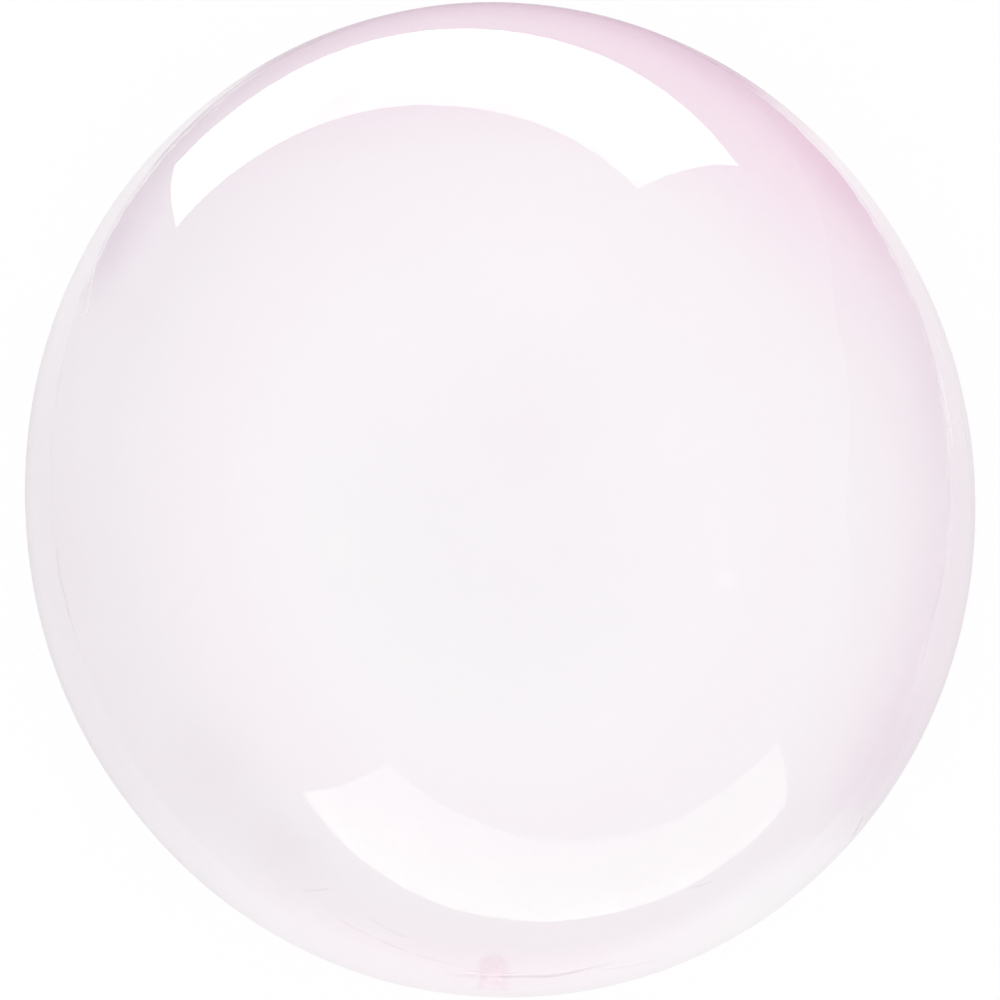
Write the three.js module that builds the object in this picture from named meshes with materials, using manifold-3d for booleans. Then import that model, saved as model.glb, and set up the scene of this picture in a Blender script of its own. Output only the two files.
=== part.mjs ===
// Clear bubble balloon, lying on its rear panel with the neck towards -Y.
// The envelope is two round film panels joined by one ring weld, inflated nearly to a ball.
// Millimetres, +Z up. The origin is the middle of the small flat spot that the balloon lies on.
import * as THREE from "three";
import { mergeVertices } from "three/addons/utils/BufferGeometryUtils.js";
import Module from "manifold-3d";

// The inflated envelope
const bubbleLength = 508;
const bubbleWidth = 484;
const bubbleDepth = 460;
const leanDegrees = 10;
const flatSpotRadius = 45;

// The ring weld, a narrow flange that stands off the film a little below the middle, tilted and wavy
const flangeHeight = 2;
const flangeThickness = 1.6;
const weldDropDegrees = 4.5;
const weldTiltDegrees = 6;
const weldWaveDegrees = 4.5;

// The filling neck, a flat sleeve that leaves the weld and is folded back under the rear panel
const neckDegrees = 268.7;
const neckLength = 44;
const neckRootWidth = 30;
const neckWidth = 18;
const neckEndWidth = 20;
const neckThickness = 2.4;
const neckRootDepth = 8;
const neckFlareLength = 12;
const neckFoldReach = 5;
const neckClearance = 1.5;
const neckTipLift = 3;
const neckTipRounding = 13;

// How finely the curves are divided
const stepsAround = 96;
const rowsPerPanel = 13;
const neckSteps = 18;
const neckStepsAcross = 6;

const filmColour = 0xf3d6e2;

const radians = THREE.MathUtils.degToRad;
const halfWidth = bubbleWidth / 2;
const halfLength = bubbleLength / 2;
const halfDepth = bubbleDepth / 2;
const meanRadius = (halfWidth + halfLength) / 2;
const flatSpotLatitude = -Math.acos(flatSpotRadius / meanRadius);
const centreHeight = -halfDepth * Math.sin(flatSpotLatitude);
const lean = new THREE.Matrix4().makeRotationZ(radians(leanDegrees));

// A point of the film, by its angle around the ball and its latitude above the middle, and the way
// that it faces.
function filmPoint(around, latitude) {
  const across = Math.cos(latitude);
  const point = new THREE.Vector3(
    halfWidth * across * Math.cos(around),
    halfLength * across * Math.sin(around),
    halfDepth * Math.sin(latitude),
  );
  return point.applyMatrix4(lean).setZ(point.z + centreHeight);
}

function filmNormal(around, latitude) {
  const across = Math.cos(latitude);
  const normal = new THREE.Vector3(
    (across * Math.cos(around)) / halfWidth,
    (across * Math.sin(around)) / halfLength,
    Math.sin(latitude) / halfDepth,
  );
  return normal.normalize().applyMatrix4(lean);
}

function weldLatitude(around) {
  const direction = around + radians(leanDegrees);
  const tilt = weldTiltDegrees * Math.sin(direction);
  const wave = weldWaveDegrees * Math.cos(2 * direction);
  return radians(tilt - wave - weldDropDegrees);
}

// The rows of points from the flat spot to the top: how far each is from the weld as a share of its
// panel, and the millimetres that it is moved along the film and off it to form the flange.
function envelopeRows() {
  const rows = [];
  for (let row = 0; row < rowsPerPanel; row += 1) {
    rows.push({ share: row / rowsPerPanel - 1, along: 0, off: 0 });
  }
  rows.push({ share: 0, along: -flangeThickness / 2, off: 0 });
  rows.push({ share: 0, along: -flangeThickness / 2, off: flangeHeight });
  rows.push({ share: 0, along: flangeThickness / 2, off: flangeHeight });
  rows.push({ share: 0, along: flangeThickness / 2, off: 0 });
  for (let row = 1; row < rowsPerPanel; row += 1) {
    rows.push({ share: row / rowsPerPanel, along: 0, off: 0 });
  }
  return rows;
}

function envelopePoint(row, step) {
  const around = (2 * Math.PI * step) / stepsAround;
  const weld = weldLatitude(around);
  const end = row.share < 0 ? flatSpotLatitude : Math.PI / 2;
  const latitude = weld + Math.abs(row.share) * (end - weld) + row.along / halfDepth;
  const point = filmPoint(around, latitude);
  return point.addScaledVector(filmNormal(around, latitude), row.off);
}

// A closed skin over rings of points, with one point at each end.
function skinOf(rings, firstEnd, lastEnd) {
  const points = [firstEnd, ...rings.flat(), lastEnd];
  const count = rings[0].length;
  const last = points.length - 1;
  const faces = [];
  for (let step = 0; step < count; step += 1) {
    const next = (step + 1) % count;
    faces.push(0, 1 + next, 1 + step);
    faces.push(last, last - count + step, last - count + next);
    for (let ring = 0; ring < rings.length - 1; ring += 1) {
      const low = 1 + ring * count;
      const high = low + count;
      faces.push(low + step, low + next, high + next);
      faces.push(low + step, high + next, high + step);
    }
  }
  const geometry = new THREE.BufferGeometry();
  geometry.setAttribute(
    "position",
    new THREE.Float32BufferAttribute(points.flatMap((point) => point.toArray()), 3),
  );
  geometry.setIndex(faces);
  return geometry;
}

function inflatedEnvelope() {
  const rings = envelopeRows().map((row) =>
    Array.from({ length: stepsAround }, (_, step) => envelopePoint(row, step)),
  );
  const flatSpotMiddle = new THREE.Vector3(0, 0, 0);
  const top = new THREE.Vector3(0, 0, centreHeight + halfDepth);
  return skinOf(rings, flatSpotMiddle, top);
}

// The neck's middle line, in the upright plane through the neck: out of the weld, over the fold and
// back along the rear panel, lifting a little at its tip.
function neckLine(around) {
  const weld = weldLatitude(around);
  const at = (distance, off) => {
    const latitude = weld - distance / halfDepth;
    return filmPoint(around, latitude).addScaledVector(filmNormal(around, latitude), off);
  };
  const resting = neckClearance + neckThickness / 2;
  const foldEnd = 3 * neckFoldReach;
  const tip = neckLength - neckFoldReach;
  return new THREE.CatmullRomCurve3(
    [
      at(0, -neckRootDepth),
      at(0, neckFoldReach / 2),
      at(neckFoldReach, neckFoldReach),
      at(foldEnd, resting),
      at((foldEnd + tip) / 2, resting),
      at(tip, resting + neckTipLift),
    ],
    false,
    "centripetal",
  );
}

function neckHalfWidth(distance, total) {
  const flare = Math.max(0, 1 - distance / (neckRootDepth + neckFlareLength));
  const taper = THREE.MathUtils.lerp(neckWidth, neckEndWidth, distance / total);
  const toTip = Math.min(1, (total - distance) / neckTipRounding);
  const rounding = Math.sqrt(1 - (1 - toTip) ** 2);
  return ((taper + (neckRootWidth - neckWidth) * flare * flare) / 2) * rounding;
}

function foldedNeck() {
  const around = radians(neckDegrees - leanDegrees);
  const line = neckLine(around);
  const total = line.getLength();
  const middle = filmNormal(around, weldLatitude(around)).setZ(0).normalize();
  const sideways = new THREE.Vector3(-middle.y, middle.x, 0);
  const rings = [];
  for (let step = 0; step < neckSteps; step += 1) {
    const share = step / neckSteps;
    const point = line.getPointAt(share);
    const tangent = line.getTangentAt(share);
    const off = new THREE.Vector3().crossVectors(tangent, sideways).normalize();
    const reach = neckHalfWidth(share * total, total);
    const ring = [];
    for (let side = 0; side < 2; side += 1) {
      for (let place = 0; place < neckStepsAcross; place += 1) {
        const angle = Math.PI * (side + (place + 0.5) / neckStepsAcross);
        const thick = (neckThickness / 2) * Math.sign(Math.sin(angle));
        const rounded = Math.min(1, 2 * Math.abs(Math.sin(angle)));
        ring.push(
          point
            .clone()
            .addScaledVector(sideways, reach * Math.cos(angle))
            .addScaledVector(off, thick * rounded),
        );
      }
    }
    rings.push(ring);
  }
  return skinOf(rings, line.getPointAt(0), line.getPointAt(1));
}

const wasm = await Module();
wasm.setup();

function solidOf(geometry) {
  const merged = mergeVertices(geometry);
  return new wasm.Manifold(
    new wasm.Mesh({
      numProp: 3,
      vertProperties: new Float32Array(merged.attributes.position.array),
      triVerts: new Uint32Array(merged.index.array),
    }),
  );
}

function geometryOf(solid) {
  const { vertProperties, triVerts } = solid.getMesh();
  const geometry = new THREE.BufferGeometry();
  geometry.setAttribute("position", new THREE.BufferAttribute(vertProperties, 3));
  geometry.setIndex(new THREE.BufferAttribute(triVerts, 1));
  return geometry;
}

function filmMesh(name, geometry) {
  const material = new THREE.MeshStandardMaterial({
    color: filmColour,
    roughness: 0.08,
    metalness: 0,
    transparent: true,
    opacity: 0.3,
  });
  const mesh = new THREE.Mesh(geometry, material);
  mesh.name = name;
  return mesh;
}

const envelope = solidOf(inflatedEnvelope()).add(solidOf(foldedNeck()));
const balloon = new THREE.Group();
balloon.add(filmMesh("bubble_envelope", geometryOf(envelope)));

export default balloon;
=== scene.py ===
import math

import bpy
from mathutils import Matrix, Vector


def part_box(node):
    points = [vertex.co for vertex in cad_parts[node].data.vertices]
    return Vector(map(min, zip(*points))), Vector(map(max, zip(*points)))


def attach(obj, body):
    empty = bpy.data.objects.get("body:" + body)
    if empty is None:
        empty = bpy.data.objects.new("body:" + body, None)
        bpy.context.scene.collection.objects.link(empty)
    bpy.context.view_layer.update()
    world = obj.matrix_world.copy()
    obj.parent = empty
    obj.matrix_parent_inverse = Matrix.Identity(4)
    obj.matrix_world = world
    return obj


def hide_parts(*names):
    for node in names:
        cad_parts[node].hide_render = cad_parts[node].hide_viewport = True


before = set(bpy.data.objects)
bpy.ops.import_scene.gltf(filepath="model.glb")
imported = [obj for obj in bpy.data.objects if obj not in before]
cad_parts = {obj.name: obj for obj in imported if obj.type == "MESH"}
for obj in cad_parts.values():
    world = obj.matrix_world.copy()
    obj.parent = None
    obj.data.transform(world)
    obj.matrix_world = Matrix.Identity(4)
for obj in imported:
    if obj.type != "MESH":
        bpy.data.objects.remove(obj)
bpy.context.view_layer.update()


# The film envelope: two round panels of clear pink stretch film, about 0.1 mm thick, inflated until
# they are nearly a ball. It lies on its rear panel. The film puckers along the ring weld, gathers
# round the neck and keeps a few soft creases from being packed flat.
BUBBLE_LENGTH = 0.508
BUBBLE_WIDTH = 0.484
BUBBLE_DEPTH = 0.460
LEAN = math.radians(10)
FLAT_SPOT_EASING = 0.0012
WELD_DROP = math.radians(4.5)
WELD_TILT = math.radians(6)
WELD_WAVE = math.radians(4.5)
WELD_WANDER = math.radians(1.6)
WELD_WANDERS_PER_RADIAN = 9.0
WELD_WANDER_SEED = 5.2
BUBBLE_SEGMENTS = 340
BUBBLE_RINGS = 280
PUCKER_DEPTH = 0.0011
PUCKER_REACH = 0.016
PUCKERS_PER_RADIAN = 17
PUCKER_SEED = 3.7
PUCKER_SHARPNESS = 7
PUCKER_ROUNDNESS = 1.5
PUCKER_GROUPS_PER_RADIAN = 2.6
PUCKER_GROUP_SEED = 9.1
PUCKER_GROUP_EDGE = (0.44, 0.62)
PUCKERED_SIDE = math.radians(12)
PUCKERED_SIDE_EDGE = (0.1, 0.95)
PUCKER_LEAST = 0.10
PUCKER_IN_GROUPS = 0.45
PUCKER_ON_ITS_SIDE = 0.5
GATHER_DEPTH = 0.0012
GATHER_REACH = 0.030
GATHER_FOLDS = 15
GATHER_START = 0.012
NECK_DIRECTION = math.radians(268.7)
WOBBLE = 0.0009
WOBBLE_SCALE = 1.75
CREASE_DEPTH = 0.0008
CREASE_STRAIGHTNESS = 6

balloon_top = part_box("bubble_envelope")[1][2]
half_sizes = (BUBBLE_WIDTH / 2, BUBBLE_LENGTH / 2, BUBBLE_DEPTH / 2)
centre_height = balloon_top - half_sizes[2]


class Flow:
    """A node's output, on which Python's own signs add Math nodes."""

    def __init__(self, socket):
        self.socket = socket
        self.tree = socket.id_data

    @staticmethod
    def node(tree, kind, settings=None, inputs=None):
        """Adds a node, with its settings first and then the values or flows of its inputs."""
        made = tree.nodes.new(kind)
        for name, value in (settings or {}).items():
            if name == "stops":
                Flow.set_stops(made.color_ramp.elements, value)
            else:
                setattr(made, name, value)
        for name, value in (inputs or {}).items():
            if isinstance(value, Flow):
                tree.links.new(value.socket, made.inputs[name])
            else:
                made.inputs[name].default_value = value
        return made

    @staticmethod
    def set_stops(elements, stops):
        """Gives a ramp its stops, each a turn in degrees and a value."""
        while len(elements) < len(stops):
            elements.new(0.5)
        for element, (degrees, value) in zip(elements, stops):
            element.position = degrees / 360
            element.color = (value, value, value, 1)

    @classmethod
    def out(cls, tree, kind, settings=None, inputs=None, output=0):
        return cls(cls.node(tree, kind, settings, inputs).outputs[output])

    def maths(self, operation, *values):
        inputs = dict(enumerate((self, *values)))
        return Flow.out(self.tree, "ShaderNodeMath", {"operation": operation}, inputs)

    def __add__(self, other):
        return self.maths("ADD", other)

    __radd__ = __add__

    def __mul__(self, other):
        return self.maths("MULTIPLY", other)

    __rmul__ = __mul__

    def __sub__(self, other):
        return self.maths("SUBTRACT", other)

    def __rsub__(self, other):
        return self.maths("MULTIPLY_ADD", -1.0, other)

    def __truediv__(self, other):
        return self.maths("DIVIDE", other)

    def __pow__(self, other):
        return self.maths("POWER", other)

    def bell(self, width):
        """1 where this is 0, falling away over a width on both sides."""
        scaled = self / width
        return (scaled * scaled * -1.0).maths("EXPONENT")

    def step(self, start, end):
        """0 up to start, 1 from end, and smooth between them."""
        inputs = {"Value": self, "From Min": start, "From Max": end}
        return Flow.out(
            self.tree, "ShaderNodeMapRange", {"interpolation_type": "SMOOTHSTEP"}, inputs
        )

    def by_direction(self, stops):
        """A value that runs straight from stop to stop as this angle goes round."""
        turned = self.maths("WRAP", 2 * math.pi, 0.0) / (2 * math.pi)
        return Flow.out(self.tree, "ShaderNodeValToRGB", {"stops": stops}, {"Fac": turned}, "Color")


def xyz(tree, x, y, z):
    """Three numbers or flows as one vector."""
    return Flow.out(tree, "ShaderNodeCombineXYZ", None, {"X": x, "Y": y, "Z": z})


def apart(tree, vector):
    """The three flows of a vector."""
    return [Flow(output) for output in Flow.node(tree, "ShaderNodeSeparateXYZ", None, {0: vector}).outputs]


def cloud(tree, place, scale, detail):
    """Soft noise between 0 and 1 that fills the space of the piece."""
    return Flow.out(
        tree,
        "ShaderNodeTexNoise",
        {"noise_dimensions": "3D"},
        {"Vector": place, "Scale": scale, "Detail": detail},
        "Fac",
    )


def new_geometry_tree(name, sizes):
    """A Geometry Nodes tree with named inputs. Gives the tree and its inputs as flows."""
    tree = bpy.data.node_groups.new(name, "GeometryNodeTree")
    tree.interface.new_socket("Geometry", in_out="OUTPUT", socket_type="NodeSocketGeometry")
    for label, value in sizes.items():
        kind = "NodeSocketInt" if isinstance(value, int) else "NodeSocketFloat"
        socket = tree.interface.new_socket(label, in_out="INPUT", socket_type=kind)
        socket.default_value = value
    start = tree.nodes.new("NodeGroupInput")
    return tree, {label: Flow(start.outputs[label]) for label in sizes}


def finished_piece(tree, sizes, geometry, material, name):
    """Ends the tree, runs it on a new object and keeps the result as a plain mesh."""
    shaded = Flow.out(tree, "GeometryNodeSetShadeSmooth", None, {"Geometry": geometry})
    real = Flow.out(tree, "GeometryNodeRealizeInstances", None, {"Geometry": shaded})
    covered = Flow.out(
        tree, "GeometryNodeSetMaterial", None, {"Geometry": real, "Material": material}
    )
    end = tree.nodes.new("NodeGroupOutput")
    tree.links.new(covered.socket, end.inputs["Geometry"])
    maker = bpy.data.objects.new(name + "_maker", bpy.data.meshes.new(name + "_maker"))
    bpy.context.scene.collection.objects.link(maker)
    modifier = maker.modifiers.new("Nodes", "NODES")
    modifier.node_group = tree
    for item in tree.interface.items_tree:
        if item.in_out == "INPUT" and item.name in sizes:
            modifier[item.identifier] = sizes[item.name]
    ready = maker.evaluated_get(bpy.context.evaluated_depsgraph_get())
    mesh = bpy.data.meshes.new_from_object(ready)
    piece = bpy.data.objects.new(name, mesh)
    bpy.context.scene.collection.objects.link(piece)
    bpy.data.objects.remove(maker)
    bpy.data.node_groups.remove(tree)
    return piece


def round_the_ball(tree, around, per_radian, seed):
    """Noise that changes with the angle around the ball and meets itself after a full turn."""
    return cloud(tree, xyz(tree, around.maths("COSINE"), around.maths("SINE"), seed), per_radian, 1.0)


def weld_latitude(tree, around, sizes):
    """How far above the middle the weld runs, at an angle around the ball. It wanders a little."""
    direction = around + sizes["Lean"]
    tilt = direction.maths("SINE") * sizes["Weld tilt"]
    wave = (direction * 2.0).maths("COSINE") * sizes["Weld wave"]
    wander = round_the_ball(tree, around, WELD_WANDERS_PER_RADIAN, WELD_WANDER_SEED)
    wander = (wander - 0.5) * sizes["Weld wander"]
    return tilt - wave + wander - sizes["Weld drop"]


def film_place(tree, around, latitude, off, sizes):
    """The place of the film at an angle and a latitude, moved off its face."""
    across = latitude.maths("COSINE")
    eastward = across * around.maths("COSINE")
    northward = across * around.maths("SINE")
    upward = latitude.maths("SINE")
    half_width = sizes["Width"] * 0.5
    half_length = sizes["Length"] * 0.5
    half_depth = sizes["Depth"] * 0.5
    place = xyz(tree, half_width * eastward, half_length * northward, half_depth * upward)
    normal = xyz(tree, eastward / half_width, northward / half_length, upward / half_depth)
    unit = Flow.out(tree, "ShaderNodeVectorMath", {"operation": "NORMALIZE"}, {0: normal})
    lift = Flow.out(
        tree, "ShaderNodeVectorMath", {"operation": "SCALE"}, {0: unit, "Scale": off}
    )
    moved = Flow.out(tree, "ShaderNodeVectorMath", {"operation": "ADD"}, {0: place, 1: lift})
    leaned = Flow.out(
        tree,
        "ShaderNodeVectorRotate",
        {"rotation_type": "Z_AXIS"},
        {"Vector": moved, "Angle": sizes["Lean"]},
    )
    raised = xyz(tree, 0.0, 0.0, sizes["Centre height"])
    return Flow.out(tree, "ShaderNodeVectorMath", {"operation": "ADD"}, {0: leaned, 1: raised})


# Each soft crease: its angle round the photo's centre and its latitude, the way it runs on the film
# from level, its half length and its half width.
SOFT_CREASES = (
    (-120, 42, 62, 0.022, 0.0035),
    (-60.5, 37, 80, 0.020, 0.0030),
    (-41, 24, 40, 0.026, 0.0040),
    (154, 16, 68, 0.020, 0.0030),
    (-20, -24, 70, 0.030, 0.0035),
    (200, -30, 75, 0.034, 0.0035),
)

BUBBLE_SIZES = {
    "Length": BUBBLE_LENGTH,
    "Width": BUBBLE_WIDTH,
    "Depth": BUBBLE_DEPTH,
    "Lean": LEAN,
    "Centre height": centre_height,
    "Weld drop": WELD_DROP,
    "Weld tilt": WELD_TILT,
    "Weld wave": WELD_WAVE,
    "Weld wander": WELD_WANDER,
}

FILM_SIZES = {
    **BUBBLE_SIZES,
    "Segments": BUBBLE_SEGMENTS,
    "Rings": BUBBLE_RINGS,
    "Flat spot easing": FLAT_SPOT_EASING,
    "Pucker depth": PUCKER_DEPTH,
    "Pucker reach": PUCKER_REACH,
    "Puckers per radian": float(PUCKERS_PER_RADIAN),
    "Gather depth": GATHER_DEPTH,
    "Gather reach": GATHER_REACH,
    "Wobble": WOBBLE,
    "Crease depth": CREASE_DEPTH,
}

# Rows of the ball stand closer together near the weld, where the film is puckered.
ROW_CROWDING = 1.45


def pucker_depth(tree, around, from_weld, sizes):
    """Short sharp folds across the weld, in groups, most of them on the photo's right."""
    fine = round_the_ball(tree, around, sizes["Puckers per radian"], PUCKER_SEED)
    ridge = 1.0 - ((fine - 0.5).maths("ABSOLUTE") * PUCKER_SHARPNESS)
    ridge = ridge.maths("MAXIMUM", 0.0) ** PUCKER_ROUNDNESS
    groups = round_the_ball(tree, around, PUCKER_GROUPS_PER_RADIAN, PUCKER_GROUP_SEED)
    groups = groups.step(*PUCKER_GROUP_EDGE)
    direction = around + sizes["Lean"]
    to_the_right = (direction - PUCKERED_SIDE).maths("COSINE").step(*PUCKERED_SIDE_EDGE)
    fade = from_weld.bell(sizes["Pucker reach"])
    strength = PUCKER_LEAST + groups * PUCKER_IN_GROUPS + to_the_right * PUCKER_ON_ITS_SIDE
    return ridge * strength * fade * sizes["Pucker depth"]


def gather_depth(tree, around, from_weld, sizes):
    """Folds that run out from the root of the neck."""
    turned = around + sizes["Lean"] - NECK_DIRECTION
    sideways = (turned + math.pi).maths("WRAP", 2 * math.pi, 0.0) - math.pi
    sideways = sideways * (BUBBLE_LENGTH / 2)
    distance = (sideways * sideways + from_weld * from_weld).maths("SQRT")
    heading = from_weld.maths("ARCTAN2", sideways)
    fold = (heading * float(GATHER_FOLDS)).maths("COSINE")
    fade = distance.bell(sizes["Gather reach"]) * distance.step(0.0, GATHER_START)
    return (fold * 0.5 + 0.5) * fade * sizes["Gather depth"]


def crease_depth(tree, around, latitude, sizes):
    """The soft creases, each a long shallow furrow."""
    total = None
    for turn, height, heading, half_length, half_width in SOFT_CREASES:
        middle = math.radians(turn) - LEAN
        wrapped = (around - middle + math.pi).maths("WRAP", 2 * math.pi, 0.0) - math.pi
        sideways = wrapped * (math.cos(math.radians(height)) * BUBBLE_LENGTH / 2)
        upward = (latitude - math.radians(height)) * (BUBBLE_DEPTH / 2)
        way = math.radians(heading)
        along = sideways * math.cos(way) + upward * math.sin(way)
        aside = upward * math.cos(way) - sideways * math.sin(way)
        bend = along * along / (half_length * CREASE_STRAIGHTNESS)
        furrow = (aside - bend).bell(half_width) * along.bell(half_length)
        total = furrow if total is None else total + furrow
    return total * sizes["Crease depth"]


def film_envelope(material):
    tree, sizes = new_geometry_tree("film envelope", FILM_SIZES)
    ball = Flow.out(
        tree,
        "GeometryNodeMeshUVSphere",
        None,
        {"Segments": sizes["Segments"], "Rings": sizes["Rings"], "Radius": 1.0},
        "Mesh",
    )
    spot = Flow.out(tree, "GeometryNodeInputPosition")
    x, y, z = apart(tree, spot)
    around = y.maths("ARCTAN2", x)
    share = z.maths("MINIMUM", 1.0).maths("MAXIMUM", -1.0).maths("ARCSINE") * (2 / math.pi)
    weld = weld_latitude(tree, around, sizes)
    side = share.maths("SIGN")
    crowded = share.maths("ABSOLUTE") ** ROW_CROWDING
    latitude = weld + crowded * (side * (math.pi / 2) - weld)
    from_weld = (latitude - weld) * (BUBBLE_DEPTH / 2)

    off = (cloud(tree, spot, WOBBLE_SCALE, 1.0) - 0.5) * sizes["Wobble"] * 2.0
    off = off - pucker_depth(tree, around, from_weld, sizes)
    off = off - gather_depth(tree, around, from_weld, sizes)
    off = off - crease_depth(tree, around, latitude, sizes)

    free_x, free_y, free_z = apart(tree, film_place(tree, around, latitude, off, sizes))
    resting = free_z.maths("SMOOTH_MAX", 0.0, sizes["Flat spot easing"])
    place = xyz(tree, free_x, free_y, resting)
    marked = Flow.out(
        tree,
        "GeometryNodeStoreNamedAttribute",
        {"data_type": "FLOAT", "domain": "POINT"},
        {"Geometry": ball, "Name": "from_weld", "Value": from_weld},
    )
    shaped = Flow.out(
        tree, "GeometryNodeSetPosition", None, {"Geometry": marked, "Position": place}
    )
    return finished_piece(tree, FILM_SIZES, shaped, material, "film_envelope")


# The film is clear and faintly tinted. It looks deepest at the rim, where it is seen edge on. Each
# table of stops goes round the photo's centre, in degrees from its right.
FILM_LILAC = (0.685, 0.628, 0.695, 1)
FILM_PINK = (0.790, 0.335, 0.600, 1)
FILM_VIOLET = (0.605, 0.490, 0.620, 1)
FILM_ROUGHNESS = 0.012
FILM_IOR = 1.5
FILM_COVER = 0.058
FRONT_SHARE = 1.40
REAR_SHARE = 0.60
SHARE_EDGE = (0.02, 0.12)
RIM_COVER = 0.145
RIM_START = 0.03
RIM_END = 0.61
RIM_END_SHIFT = 0.19
CLOUDINESS = 0.25
CLOUD_SCALE = 7.0
CLOUD_DETAIL = 3.0
LEAST_PINK = 0.10
TINT_EDGE = (0.1, 0.5)
TINT_LEAST = 0.7
TINT_CLOUDINESS = 0.6
VIOLET_PER_COVER = 3.5

# The film is stretched least along the weld at the crown, where it gathers, so it is thickest and
# deepest there. Near the weld the film is paler at the corners of the crown and by the neck.
BELT_REACH = 0.066
BELT_REACH_IN_FRONT = 0.070
BELT_FALL = 1.3
BELT_LOST_BY_PALENESS = 4.0
WELD_EDGE = 0.001
NECK_SIDE_EDGE = (0.55, 0.80)
NECK_PINK_EDGE = (0.78, 1.06)
HEM_START = 0.050
HEM_END = 0.130
HEM_LONGER_BY_NECK = 0.080
HEM_REACH_BEHIND = 0.040
BELT_COVER = (
    (0, 0.08),
    (30, 0.12),
    (42, 0.27),
    (75, 0.28),
    (105, 0.26),
    (135, 0.28),
    (148, 0.27),
    (156, 0.03),
    (180, 0.03),
    (225, 0.05),
    (250, 0.00),
    (300, 0.00),
    (330, 0.07),
    (360, 0.08),
)
HEM_PALENESS = (
    (0, 0.10),
    (15, 0.30),
    (45, 0.65),
    (60, 0.00),
    (117, 0.00),
    (127, 0.45),
    (150, 0.40),
    (170, 0.05),
    (212, 0.05),
    (230, 0.20),
    (242, 0.48),
    (255, 0.55),
    (300, 0.58),
    (313, 0.45),
    (320, 0.05),
    (360, 0.10),
)
PINKNESS = (
    (0, 0.26),
    (20, 0.40),
    (35, 0.80),
    (45, 1.00),
    (75, 1.00),
    (105, 0.65),
    (120, 0.35),
    (135, 0.15),
    (160, 0.00),
    (240, 0.00),
    (315, 0.12),
    (330, 0.34),
    (360, 0.26),
)

# Places where the film is a little thicker, and paler spots with a negative cover that are
# painted soft reflections: the turn, the latitude, how far each reaches and its cover.
THICK_SPOTS_AND_PAINTED_REFLECTIONS = (
    (145, -12, 0.022, 0.05),
    (186, -12, 0.045, 0.03),
    (222, -27, 0.036, 0.060),
    (237, -24, 0.024, 0.075),
    (268, -5, 0.020, 0.032),
    (328, -5, 0.034, 0.10),
    (80, -57, 0.045, -0.020),
    (342, -54, 0.006, -0.035),
    (196, -65, 0.010, -0.020),
)
EDGE_COVER = 0.05
EDGE_START = 0.80
EDGE_END = 0.95
PEARL_PINK = 0.40
PEARL_MIDDLE = 0.20
PEARL_REACH = 0.10

# A long soft fold runs beside the weld on the right of the rear panel. Past it the film is a
# little thicker.
FOLD_EDGE = 0.0008
FOLD_DISTANCE = (
    (0, 0.104),
    (30, 0.092),
    (46, 0.050),
    (60, 0.010),
    (330, 0.060),
    (339, 0.080),
    (360, 0.104),
)
FOLD_COVER = (
    (0, 0.018),
    (30, 0.026),
    (44, 0.024),
    (52, 0.000),
    (322, 0.000),
    (342, 0.014),
    (360, 0.018),
)


def film_point(around, latitude, off):
    """The same place as film_place gives, worked out in Python."""
    across = math.cos(latitude)
    unit = Vector((across * math.cos(around), across * math.sin(around), math.sin(latitude)))
    place = Vector([half * share for half, share in zip(half_sizes, unit)])
    normal = Vector([share / half for half, share in zip(half_sizes, unit)]).normalized()
    leaned = Matrix.Rotation(LEAN, 3, "Z") @ (place + off * normal)
    return leaned + Vector((0, 0, centre_height))


def object_place(tree):
    """A point on the piece as one flow, and its X, Y and Z, in metres."""
    place = Flow.out(tree, "ShaderNodeTexCoord", None, None, "Object")
    return place, apart(tree, place)


def marked(tree, name):
    """The number that a mesh carries at each point under a name."""
    return Flow.out(tree, "ShaderNodeAttribute", {"attribute_name": name}, None, "Fac")


def blend(tree, share, first, second):
    """The first colour where the share is 0 and the second where it is 1."""
    inputs = {"Factor": share, "A": first, "B": second}
    return Flow.out(tree, "ShaderNodeMix", {"data_type": "RGBA"}, inputs, "Result")


def new_material(name):
    material = bpy.data.materials.new(name)
    material.use_nodes = True
    material.node_tree.nodes.clear()
    return material, material.node_tree


def finish_material(tree, inputs):
    """Ends a material with one Principled shader."""
    shader = Flow.node(tree, "ShaderNodeBsdfPrincipled", None, inputs)
    end = tree.nodes.new("ShaderNodeOutputMaterial")
    tree.links.new(shader.outputs[0], end.inputs["Surface"])


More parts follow.
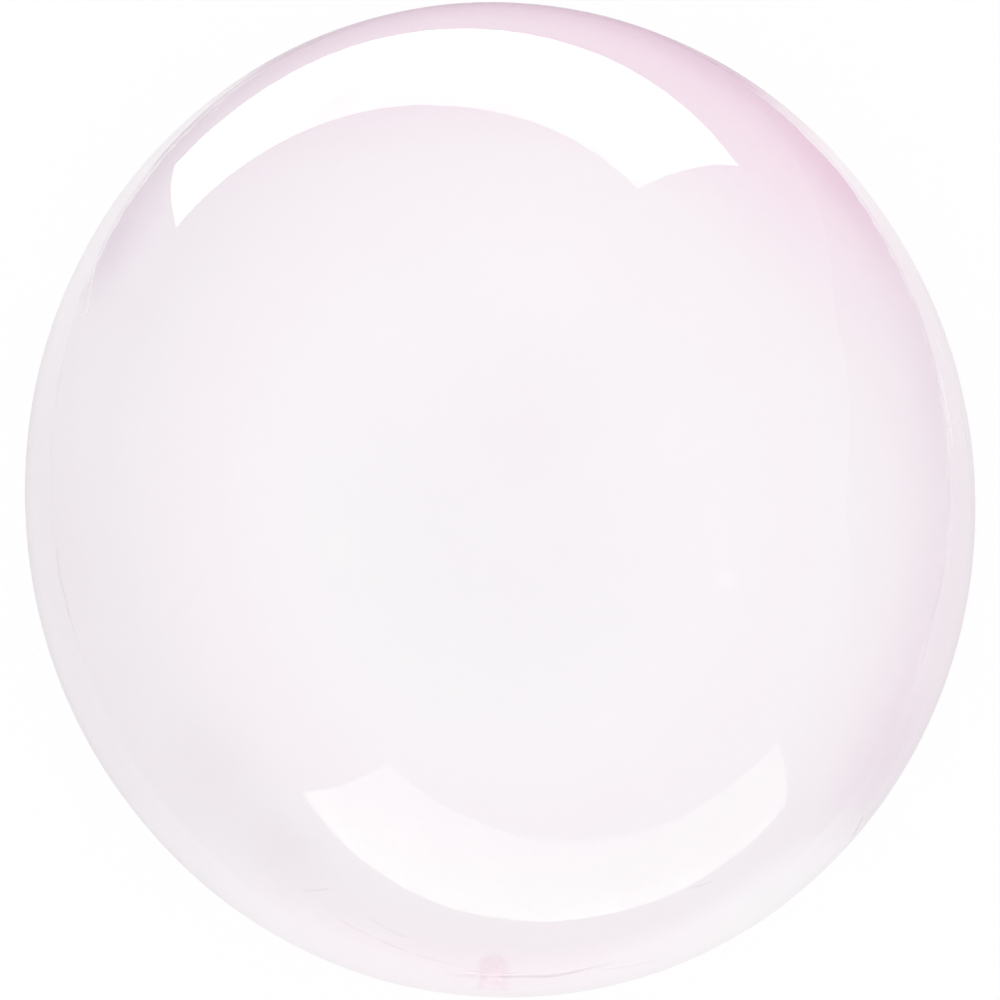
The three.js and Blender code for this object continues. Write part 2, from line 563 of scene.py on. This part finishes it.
def clear_film():
    material, tree = new_material("clear pink film")
    place, (x, y, _) = object_place(tree)
    from_weld = marked(tree, "from_weld")
    edge_on = Flow.out(tree, "ShaderNodeLayerWeight", None, {"Blend": 0.5}, "Facing")
    cloudy = cloud(tree, place, CLOUD_SCALE, CLOUD_DETAIL)
    direction = y.maths("ARCTAN2", x)
    in_front = from_weld.step(-WELD_EDGE, WELD_EDGE)
    behind = 1.0 - in_front

    from_neck = (direction - NECK_DIRECTION).maths("COSINE")
    neck_side = from_neck.step(*NECK_SIDE_EDGE)
    hem = (from_weld - neck_side * HEM_LONGER_BY_NECK).step(HEM_START, HEM_END)
    hem = in_front * (1.0 - hem)
    hem = hem + behind * neck_side * from_weld.step(-HEM_REACH_BEHIND, 0.0)
    paleness = direction.by_direction(HEM_PALENESS)
    belt = in_front * (1.0 - paleness * BELT_LOST_BY_PALENESS).maths("MAXIMUM", 0.0)
    belt = belt * (1.0 - from_weld.step(0.0, BELT_REACH_IN_FRONT))
    belt = belt + behind * from_weld.step(-BELT_REACH, 0.0) ** BELT_FALL
    past_fold = from_weld + direction.by_direction(FOLD_DISTANCE)
    fold = past_fold.step(-FOLD_EDGE, FOLD_EDGE) * behind
    thicker_film_and_reflections = belt * direction.by_direction(BELT_COVER) + fold * direction.by_direction(FOLD_COVER)
    # Each spot adds its cover. A negative cover paints a soft reflection as a paler spot.
    for turn, height, reach, cover in THICK_SPOTS_AND_PAINTED_REFLECTIONS:
        middle = film_point(math.radians(turn) - LEAN, math.radians(height), 0)
        away = Flow.out(
            tree, "ShaderNodeVectorMath", {"operation": "DISTANCE"}, {0: place, 1: middle}, "Value"
        )
        thicker_film_and_reflections = thicker_film_and_reflections + away.bell(reach) * cover

    pearly = (edge_on - PEARL_MIDDLE).bell(PEARL_REACH) * PEARL_PINK
    tinted = edge_on.step(*TINT_EDGE) * (TINT_LEAST + cloudy * TINT_CLOUDINESS)
    pinkness = direction.by_direction(PINKNESS) * tinted
    pinkness = pinkness.maths("MAXIMUM", from_neck.step(*NECK_PINK_EDGE) * hem)
    pinkness = pinkness.maths("MAXIMUM", pearly * (0.5 + cloudy))
    bluish = blend(tree, thicker_film_and_reflections * VIOLET_PER_COVER, FILM_LILAC, FILM_VIOLET)
    colour = blend(tree, pinkness * (1 - LEAST_PINK) + LEAST_PINK, bluish, FILM_PINK)
    share = in_front * (FRONT_SHARE - REAR_SHARE) + (REAR_SHARE - 1.0)
    share = from_weld.maths("ABSOLUTE").step(*SHARE_EDGE) * share + 1.0
    rim_end = x * (RIM_END_SHIFT * 2 / BUBBLE_WIDTH) + RIM_END
    even = share * FILM_COVER + edge_on.step(RIM_START, rim_end) * RIM_COVER
    even = even + edge_on.step(EDGE_START, EDGE_END) * EDGE_COVER
    clouded = cloudy * CLOUDINESS + (1 - CLOUDINESS / 2)
    finish_material(
        tree,
        {
            "Base Color": colour,
            "Roughness": FILM_ROUGHNESS,
            "IOR": FILM_IOR,
            "Alpha": even * (1.0 - hem * paleness) * clouded + thicker_film_and_reflections,
        },
    )
    return material


film = film_envelope(clear_film())
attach(film, "root")
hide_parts("bubble_envelope")


# Sharp creases: the film was packed flat, and its sharpest folds never quite stretch out again.
# Each is a thin strip laid a fraction of a millimetre off the even ball, deeper in colour where the
# film is doubled. The pale strips are a painted highlight, near-white where a fold catches the light.
CREASE_STEPS = 36
CREASE_STEPS_ACROSS = 10
CREASE_THICKNESS = 0.0003
CREASE_LEAST_HALF_WIDTH = 0.00005
CREASE_SWELLING = 0.25
CREASE_SWELLINGS = 9
CREASE_ROUGHNESS = 0.3
OFF_PROBE = 0.01
CREASE_DEEP = (0.42, 0.24, 0.38, 1)
# The pale colour is a painted highlight, near-white where a fold catches the light.
CREASE_PAINTED_HIGHLIGHT = (0.98, 0.95, 0.98, 1)

# Each crease: its turn round the photo's centre and its latitude at both ends, how far it bows
# aside, its half width, its cover, and 1 where it is pale, a painted highlight.
SHARP_CREASES = (
    (150.6, 25.2, 157.2, 30.2, 0.0008, 0.0011, 0.34, 1),
    (150.0, 24.0, 155.0, 27.5, 0.0004, 0.0007, 0.26, 1),
    (149.5, 25.8, 136.5, 21.4, -0.0008, 0.0008, 0.26, 1),
    (135.5, 21.6, 126.0, 16.8, 0.0006, 0.0008, 0.22, 1),
    (128.2, 23.6, 125.2, 21.0, 0.0006, 0.0012, 0.30, 1),
    (15.8, 26.2, 6.8, 26.8, 0.0012, 0.0017, 0.34, 1),
    (32.0, 22.4, 24.0, 26.6, 0.0010, 0.0012, 0.20, 1),
    (21.5, 24.0, 17.0, 22.0, 0.0004, 0.0014, 0.20, 1),
    (3.0, 28.0, 352.5, 28.0, 0.0010, 0.0010, 0.14, 1),
    (12.0, 22.5, 4.0, 21.5, 0.0010, 0.0012, 0.16, 1),
    (28.0, 5.0, 19.0, 4.0, 0.0012, 0.0012, 0.06, 0),
    (12.0, 2.0, 357.0, 3.0, 0.0014, 0.0012, 0.05, 0),
    (241.5, -16.1, 245.2, -20.6, 0.0010, 0.0012, 0.03, 0),
    (247.6, -13.8, 252.5, -12.4, 0.0004, 0.0008, 0.06, 0),
    (253.5, -12.1, 257.5, -11.0, 0.0003, 0.0008, 0.06, 0),
    (258.5, -10.7, 263.0, -9.6, 0.0003, 0.0008, 0.05, 0),
    (251.0, -17.4, 257.5, -15.0, 0.0012, 0.0012, 0.025, 0),
    (281.6, -5.2, 289.2, -1.6, 0.0006, 0.0007, 0.05, 0),
    (296.5, -19.6, 300.3, -18.2, 0.0006, 0.0012, 0.035, 0),
    (317.5, 5.0, 320.4, 0.5, 0.0004, 0.0026, 0.08, 0),
)


def plain_mesh(name, points, faces, marks, material):
    """A smooth mesh with a number at each point for each name in marks, linked as an object."""
    mesh = bpy.data.meshes.new(name)
    mesh.from_pydata(points, [], faces)
    mesh.shade_smooth()
    mesh.materials.append(material)
    for label, values in marks.items():
        mesh.attributes.new(label, "FLOAT", "POINT").data.foreach_set("value", values)
    piece = bpy.data.objects.new(name, mesh)
    bpy.context.scene.collection.objects.link(piece)
    return piece


def lens_strip(middles, offs, sideways, half_widths, half_thickness, count):
    """Points of a flat lens along a line, ring by ring, and how far each is from its middle."""
    points = []
    asides = []
    for middle, off, aside, half_width in zip(middles, offs, sideways, half_widths):
        for place in range(count):
            angle = 2 * math.pi * place / count
            across = math.cos(angle)
            thick = math.sin(angle) * half_thickness
            points.append(middle + aside * (across * half_width) + off * thick)
            asides.append(abs(across))
    return points, asides


def tube_faces(first, rings, count):
    """The faces of a closed tube whose points start at a number and go ring by ring."""
    faces = []
    for step in range(rings - 1):
        for place in range(count):
            low = first + step * count
            beside = (place + 1) % count
            faces.append((low + place, low + beside, low + count + beside, low + count + place))
    last = first + (rings - 1) * count
    faces.append(tuple(reversed(range(first, first + count))))
    faces.append(tuple(range(last, last + count)))
    return faces


def film_creases(material):
    points = []
    faces = []
    marks = {"aside": [], "cover": [], "pale": []}
    for turn, height, last_turn, last_height, bow, half_width, cover, pale in SHARP_CREASES:
        swing = (last_turn - turn + 180) % 360 - 180
        middles = []
        offs = []
        tapers = []
        for step in range(CREASE_STEPS):
            share = step / (CREASE_STEPS - 1)
            around = math.radians(turn + swing * share) - LEAN
            arch = 4 * share * (1 - share)
            latitude = math.radians(height + (last_height - height) * share)
            latitude += arch * bow / half_sizes[2]
            middle = film_point(around, latitude, CREASE_THICKNESS)
            middles.append(middle)
            offs.append((film_point(around, latitude, OFF_PROBE) - middle).normalized())
            swelling = 1 + CREASE_SWELLING * math.sin(CREASE_SWELLINGS * share)
            tapers.append(half_width * math.sqrt(arch) * swelling + CREASE_LEAST_HALF_WIDTH)
        sideways = []
        for step in range(CREASE_STEPS):
            before = middles[max(0, step - 1)]
            after = middles[min(CREASE_STEPS - 1, step + 1)]
            sideways.append(offs[step].cross(after - before).normalized())
        first = len(points)
        strip, asides = lens_strip(
            middles, offs, sideways, tapers, CREASE_THICKNESS / 2, CREASE_STEPS_ACROSS
        )
        points += strip
        marks["aside"] += asides
        marks["cover"] += [cover] * len(strip)
        marks["pale"] += [float(pale)] * len(strip)
        faces += tube_faces(first, CREASE_STEPS, CREASE_STEPS_ACROSS)
    return plain_mesh("film_creases", points, faces, marks, material)


def creased_film():
    material, tree = new_material("creased film")
    aside = marked(tree, "aside")
    soft = 1.0 - aside * aside
    finish_material(
        tree,
        {
            # The pale strips are painted near-white: a painted highlight.
            "Base Color": blend(tree, marked(tree, "pale"), CREASE_DEEP, CREASE_PAINTED_HIGHLIGHT),
            "Roughness": CREASE_ROUGHNESS,
            "Specular IOR Level": 0.0,
            "Alpha": marked(tree, "cover") * soft * soft,
        },
    )
    return material


creases = film_creases(creased_film())
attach(creases, "root")
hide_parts("bubble_envelope")


# The ring weld: the two panels' edges, melted together into one narrow flange, which stands out
# all the way round. It is stiffer than the film, so it ripples a little. It follows the even ball.
FLANGE_HEIGHT = 0.0012
FLANGE_THICKNESS = 0.0004
FLANGE_STEPS = 720
FLANGE_RIPPLE = 0.0008
FLANGE_RIPPLES_PER_RADIAN = 21.0
FLANGE_RIPPLE_SEED = 1.3
WELD_COLOUR = (0.52, 0.36, 0.46, 1)
WELD_LEAST_ROUGHNESS = 0.15
WELD_MORE_ROUGHNESS = 0.2
WELD_MOTTLE_SCALE = 60.0
WELD_PATCH_SCALE = 9.0
WELD_PATCH_EDGE = (0.40, 0.62)
WELD_LEAST_PATCH = 0.35
WELD_MORE_PATCH = 1.3
MOTTLE_DETAIL = 2.0
WELD_COVER = (
    (0, 0.10),
    (35, 0.12),
    (50, 0.04),
    (120, 0.04),
    (138, 0.20),
    (149, 0.20),
    (155, 0.02),
    (178, 0.02),
    (186, 0.06),
    (194, 0.05),
    (202, 0.00),
    (264, 0.00),
    (270, 0.07),
    (278, 0.07),
    (284, 0.00),
    (338, 0.00),
    (350, 0.06),
    (360, 0.10),
)

FLANGE_SIZES = {
    **BUBBLE_SIZES,
    "Steps": FLANGE_STEPS,
    "Flange height": FLANGE_HEIGHT,
    "Flange thickness": FLANGE_THICKNESS,
    "Ripple": FLANGE_RIPPLE,
}


def ring_weld(material):
    tree, sizes = new_geometry_tree("ring weld", FLANGE_SIZES)
    ring = Flow.out(
        tree, "GeometryNodeCurvePrimitiveCircle", {"mode": "RADIUS"}, {"Resolution": sizes["Steps"]}
    )
    number = Flow.out(tree, "GeometryNodeInputIndex")
    around = number / sizes["Steps"] * (2 * math.pi)
    ripple = round_the_ball(tree, around, FLANGE_RIPPLES_PER_RADIAN, FLANGE_RIPPLE_SEED)
    ripple = (ripple - 0.5) * sizes["Ripple"]
    weld = weld_latitude(tree, around, sizes) + ripple / (BUBBLE_DEPTH / 2)
    middle = film_place(tree, around, weld, sizes["Flange height"] * 0.5, sizes)
    laid = Flow.out(
        tree, "GeometryNodeSetPosition", None, {"Geometry": ring, "Position": middle}
    )
    upright = Flow.out(
        tree, "GeometryNodeSetCurveNormal", {"mode": "Z_UP"}, {"Curve": laid}
    )
    section = Flow.out(
        tree,
        "GeometryNodeCurvePrimitiveQuadrilateral",
        {"mode": "RECTANGLE"},
        {"Width": sizes["Flange height"], "Height": sizes["Flange thickness"]},
    )
    swept = Flow.out(
        tree, "GeometryNodeCurveToMesh", None, {"Curve": upright, "Profile Curve": section}
    )
    return finished_piece(tree, FLANGE_SIZES, swept, material, "ring_weld")


def melted_film():
    material, tree = new_material("melted film edge")
    place, (x, y, _) = object_place(tree)
    cover = y.maths("ARCTAN2", x).by_direction(WELD_COVER)
    mottled = cloud(tree, place, WELD_MOTTLE_SCALE, MOTTLE_DETAIL)
    patchy = cloud(tree, place, WELD_PATCH_SCALE, MOTTLE_DETAIL).step(*WELD_PATCH_EDGE)
    finish_material(
        tree,
        {
            "Base Color": WELD_COLOUR,
            "Roughness": WELD_LEAST_ROUGHNESS + mottled * WELD_MORE_ROUGHNESS,
            "IOR": FILM_IOR,
            "Alpha": cover * (mottled + 0.5) * (WELD_LEAST_PATCH + patchy * WELD_MORE_PATCH),
        },
    )
    return material


weld = ring_weld(melted_film())
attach(weld, "root")
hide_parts("bubble_envelope")


# The filling neck: a flat sleeve of the same film, both plies pleated together. It leaves the weld,
# turns over a soft fold and lies back along the rear panel, with its open end lifting a little.
NECK_LENGTH = 0.044
NECK_ROOT_WIDTH = 0.030
NECK_WIDTH = 0.018
NECK_END_WIDTH = 0.021
NECK_TIP_ROUNDING = 0.022
NECK_SLEEVE = 0.0016
NECK_STARTS_BEFORE_WELD = 0.003
NECK_FLARE_LENGTH = 0.012
NECK_FOLD_REACH = 0.005
NECK_FOLD_AT = 0.003
NECK_FOLD_LENGTH = 0.006
NECK_RESTING = 0.0027
NECK_TIP_LIFT = 0.003
NECK_PLEATS = 3
NECK_PLEAT_DEPTH = 0.0007
NECK_PLEAT_SWAY = 0.13
NECK_PLEAT_SWAYS = 5
NECK_PROBE = 0.0005
NECK_STEPS = 90
NECK_STEPS_ACROSS = 28
NECK_COLOUR = (0.940, 0.400, 0.540, 1)
NECK_COVER = 0.062
NECK_RIM_COVER = 0.08
NECK_EDGE_SOFTNESS = (0.55, 1.0)
NECK_MOTTLE_SCALE = 90.0
NECK_LEAST_MOTTLE = 0.8
NECK_MORE_MOTTLE = 0.4
NECK_LEAST_ROUGHNESS = 0.10
NECK_MORE_ROUGHNESS = 0.12
NECK_ROOT_FADE = 0.20
NECK_TIP_FADE = 0.40
NECK_TIP_STRENGTH = 0.2


def neck_off(distance):
    """How far off the film the middle of the sleeve is, at a distance past the weld, root and all."""
    rise = NECK_FOLD_REACH * math.exp(-(((distance - NECK_FOLD_AT) / NECK_FOLD_LENGTH) ** 2))
    lift = max(0.0, distance / NECK_LENGTH - 0.5) * 2
    return NECK_RESTING + rise + NECK_TIP_LIFT * lift * lift


def neck_width(distance):
    """How wide the sleeve is at a distance past the weld: flared at its root and round at its tip."""
    past_root = distance + NECK_STARTS_BEFORE_WELD
    share = past_root / NECK_LENGTH
    flare = max(0.0, 1 - past_root / NECK_FLARE_LENGTH)
    width = NECK_WIDTH + (NECK_END_WIDTH - NECK_WIDTH) * share
    width += (NECK_ROOT_WIDTH - NECK_WIDTH) * flare * flare
    to_tip = min(1.0, (NECK_LENGTH - past_root) / NECK_TIP_ROUNDING)
    return width * math.sqrt(max(0.0, 1 - (1 - to_tip) ** 2))


def neck_sleeve(material):
    around = NECK_DIRECTION - LEAN
    direction = around + LEAN
    weld_height = (
        WELD_TILT * math.sin(direction) - WELD_WAVE * math.cos(2 * direction) - WELD_DROP
    )

    def line(distance):
        latitude = weld_height - distance / half_sizes[2]
        return film_point(around, latitude, neck_off(distance))

    sideways = Vector((-math.sin(direction), math.cos(direction), 0))
    points = []
    marks = {"aside": [], "strength": []}
    for step in range(NECK_STEPS):
        distance = NECK_LENGTH * step / NECK_STEPS - NECK_STARTS_BEFORE_WELD
        middle = line(distance)
        tangent = (line(distance + NECK_PROBE) - line(distance - NECK_PROBE)).normalized()
        off = tangent.cross(sideways).normalized()
        share = step / NECK_STEPS
        width = neck_width(distance)
        to_tip = NECK_TIP_STRENGTH + (1 - share) / NECK_TIP_FADE
        strength = min(1.0, share / NECK_ROOT_FADE, to_tip)
        for place in range(NECK_STEPS_ACROSS):
            angle = 2 * math.pi * place / NECK_STEPS_ACROSS
            reach = math.cos(angle)
            sway = NECK_PLEAT_SWAY * math.sin(NECK_PLEAT_SWAYS * share)
            pleat = math.cos(math.pi * NECK_PLEATS * (reach + sway))
            pleat *= NECK_PLEAT_DEPTH * (1 - reach * reach)
            thick = NECK_SLEEVE / 2 * math.sin(angle)
            points.append(middle + sideways * (reach * width / 2) + off * (thick + pleat))
            marks["aside"].append(abs(reach))
            marks["strength"].append(strength)
    faces = tube_faces(0, NECK_STEPS, NECK_STEPS_ACROSS)
    return plain_mesh("neck_sleeve", points, faces, marks, material)


def doubled_film():
    material, tree = new_material("doubled film of the neck")
    place, _ = object_place(tree)
    edge_on = Flow.out(tree, "ShaderNodeLayerWeight", None, {"Blend": 0.5}, "Facing")
    mottled = cloud(tree, place, NECK_MOTTLE_SCALE, MOTTLE_DETAIL)
    cover = NECK_COVER + edge_on * edge_on * NECK_RIM_COVER
    cover = cover * (NECK_LEAST_MOTTLE + mottled * NECK_MORE_MOTTLE)
    soft = (1.0 - marked(tree, "aside").step(*NECK_EDGE_SOFTNESS)) * marked(tree, "strength")
    finish_material(
        tree,
        {
            "Base Color": NECK_COLOUR,
            "Roughness": NECK_LEAST_ROUGHNESS + mottled * NECK_MORE_ROUGHNESS,
            "IOR": FILM_IOR,
            "Alpha": cover * soft,
        },
    )
    return material


neck = neck_sleeve(doubled_film())
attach(neck, "root")
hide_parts("bubble_envelope")


# The studio: a plain pale floor, an even tent of soft light, and one large curved soft panel that
# the film mirrors twice, upright in its front wall and upside down in its rear wall.
FLOOR_REACH = 12.0
FLOOR_GAP = 0.0005
FLOOR_COLOUR = (0.72, 0.72, 0.72, 1)
FLOOR_GLOW = 0.296
FLOOR_ROUGHNESS = 0.9
TENT_LIGHT = 1.0
TENT_IN_FILM = (0.50, 0.44, 0.48, 1)
PANEL_LIGHT = 20.5
PANEL_COLOUR = (0.90, 1.00, 0.86, 1)
PANEL_DIM_END = (0.54, 0.60, 0.51, 1)
PANEL_DIM_SPAN = (-2.6, 1.8)
PANEL_STEPS = 24
PANEL_FAR_EDGE = (
    Vector((-2.36, 2.27, -2.47)),
    Vector((-0.30, 3.33, -2.39)),
    Vector((2.50, 3.23, -0.75)),
)
PANEL_NEAR_EDGE = (
    Vector((-3.15, 2.46, -1.08)),
    Vector((-0.73, 4.10, -0.16)),
    Vector((1.77, 3.65, 1.06)),
)
CAMERA_DISTANCE = 1.2
CAMERA_LENS = 83.2
SENSOR_WIDTH = 36.0


def soft_panel_light():
    """The panel's even glow, which is weaker towards its left end."""
    material, tree = new_material("soft panel")
    material.cycles.emission_sampling = "NONE"
    _, (x, _, _) = object_place(tree)
    colour = blend(tree, x.step(*PANEL_DIM_SPAN), PANEL_DIM_END, PANEL_COLOUR)
    inputs = {"Base Color": (0, 0, 0, 1), "Emission Color": colour, "Emission Strength": PANEL_LIGHT}
    finish_material(tree, inputs)
    return material


def pale_floor():
    material, tree = new_material("pale floor")
    material.cycles.emission_sampling = "NONE"
    finish_material(
        tree,
        {
            "Base Color": FLOOR_COLOUR,
            "Roughness": FLOOR_ROUGHNESS,
            "Specular IOR Level": 0.0,
            "Emission Color": (1, 1, 1, 1),
            "Emission Strength": FLOOR_GLOW,
        },
    )
    mesh = bpy.data.meshes.new("floor")
    reach = FLOOR_REACH / 2
    corners = [(-reach, -reach), (reach, -reach), (reach, reach), (-reach, reach)]
    corners = [(x, y, -FLOOR_GAP) for x, y in corners]
    mesh.from_pydata(corners, [], [(0, 1, 2, 3)])
    mesh.materials.append(material)
    floor = bpy.data.objects.new("floor", mesh)
    bpy.context.scene.collection.objects.link(floor)
    floor.visible_glossy = False
    return floor


def bow(edge, share):
    """A point on the smooth curve through an edge's two ends and its middle."""
    first, middle, last = edge
    control = 2 * middle - (first + last) / 2
    return first.lerp(control, share).lerp(control.lerp(last, share), share)


def soft_panel():
    height = Vector((0, 0, centre_height))
    points = []
    for step in range(PANEL_STEPS + 1):
        share = step / PANEL_STEPS
        points.append(bow(PANEL_FAR_EDGE, share) + height)
        points.append(bow(PANEL_NEAR_EDGE, share) + height)
    faces = [(2 * s, 2 * s + 1, 2 * s + 3, 2 * s + 2) for s in range(PANEL_STEPS)]
    mesh = bpy.data.meshes.new("soft_panel")
    mesh.from_pydata(points, [], faces)
    mesh.materials.append(soft_panel_light())
    panel = bpy.data.objects.new("soft_panel", mesh)
    bpy.context.scene.collection.objects.link(panel)
    panel.visible_camera = False
    panel.visible_diffuse = False
    panel.visible_shadow = False
    return panel


def light_tent():
    world = bpy.data.worlds.new("light tent")
    world.use_nodes = True
    world.cycles.sampling_method = "NONE"
    tree = world.node_tree
    tree.nodes.clear()
    in_film = Flow.out(tree, "ShaderNodeLightPath", None, None, "Is Glossy Ray")
    colour = blend(tree, in_film, (1, 1, 1, 1), TENT_IN_FILM)
    light = Flow.node(
        tree, "ShaderNodeBackground", None, {"Color": colour, "Strength": TENT_LIGHT}
    )
    end = tree.nodes.new("ShaderNodeOutputWorld")
    tree.links.new(light.outputs[0], end.inputs["Surface"])
    bpy.context.scene.world = world


def photo_camera():
    camera = bpy.data.cameras.new("camera")
    camera.sensor_width = SENSOR_WIDTH
    camera.lens = CAMERA_LENS
    holder = bpy.data.objects.new("camera", camera)
    holder.location = (0, 0, centre_height + CAMERA_DISTANCE)
    bpy.context.scene.collection.objects.link(holder)
    bpy.context.scene.camera = holder


pale_floor()
soft_panel()
light_tent()
photo_camera()
bpy.context.scene.view_settings.view_transform = "Standard"
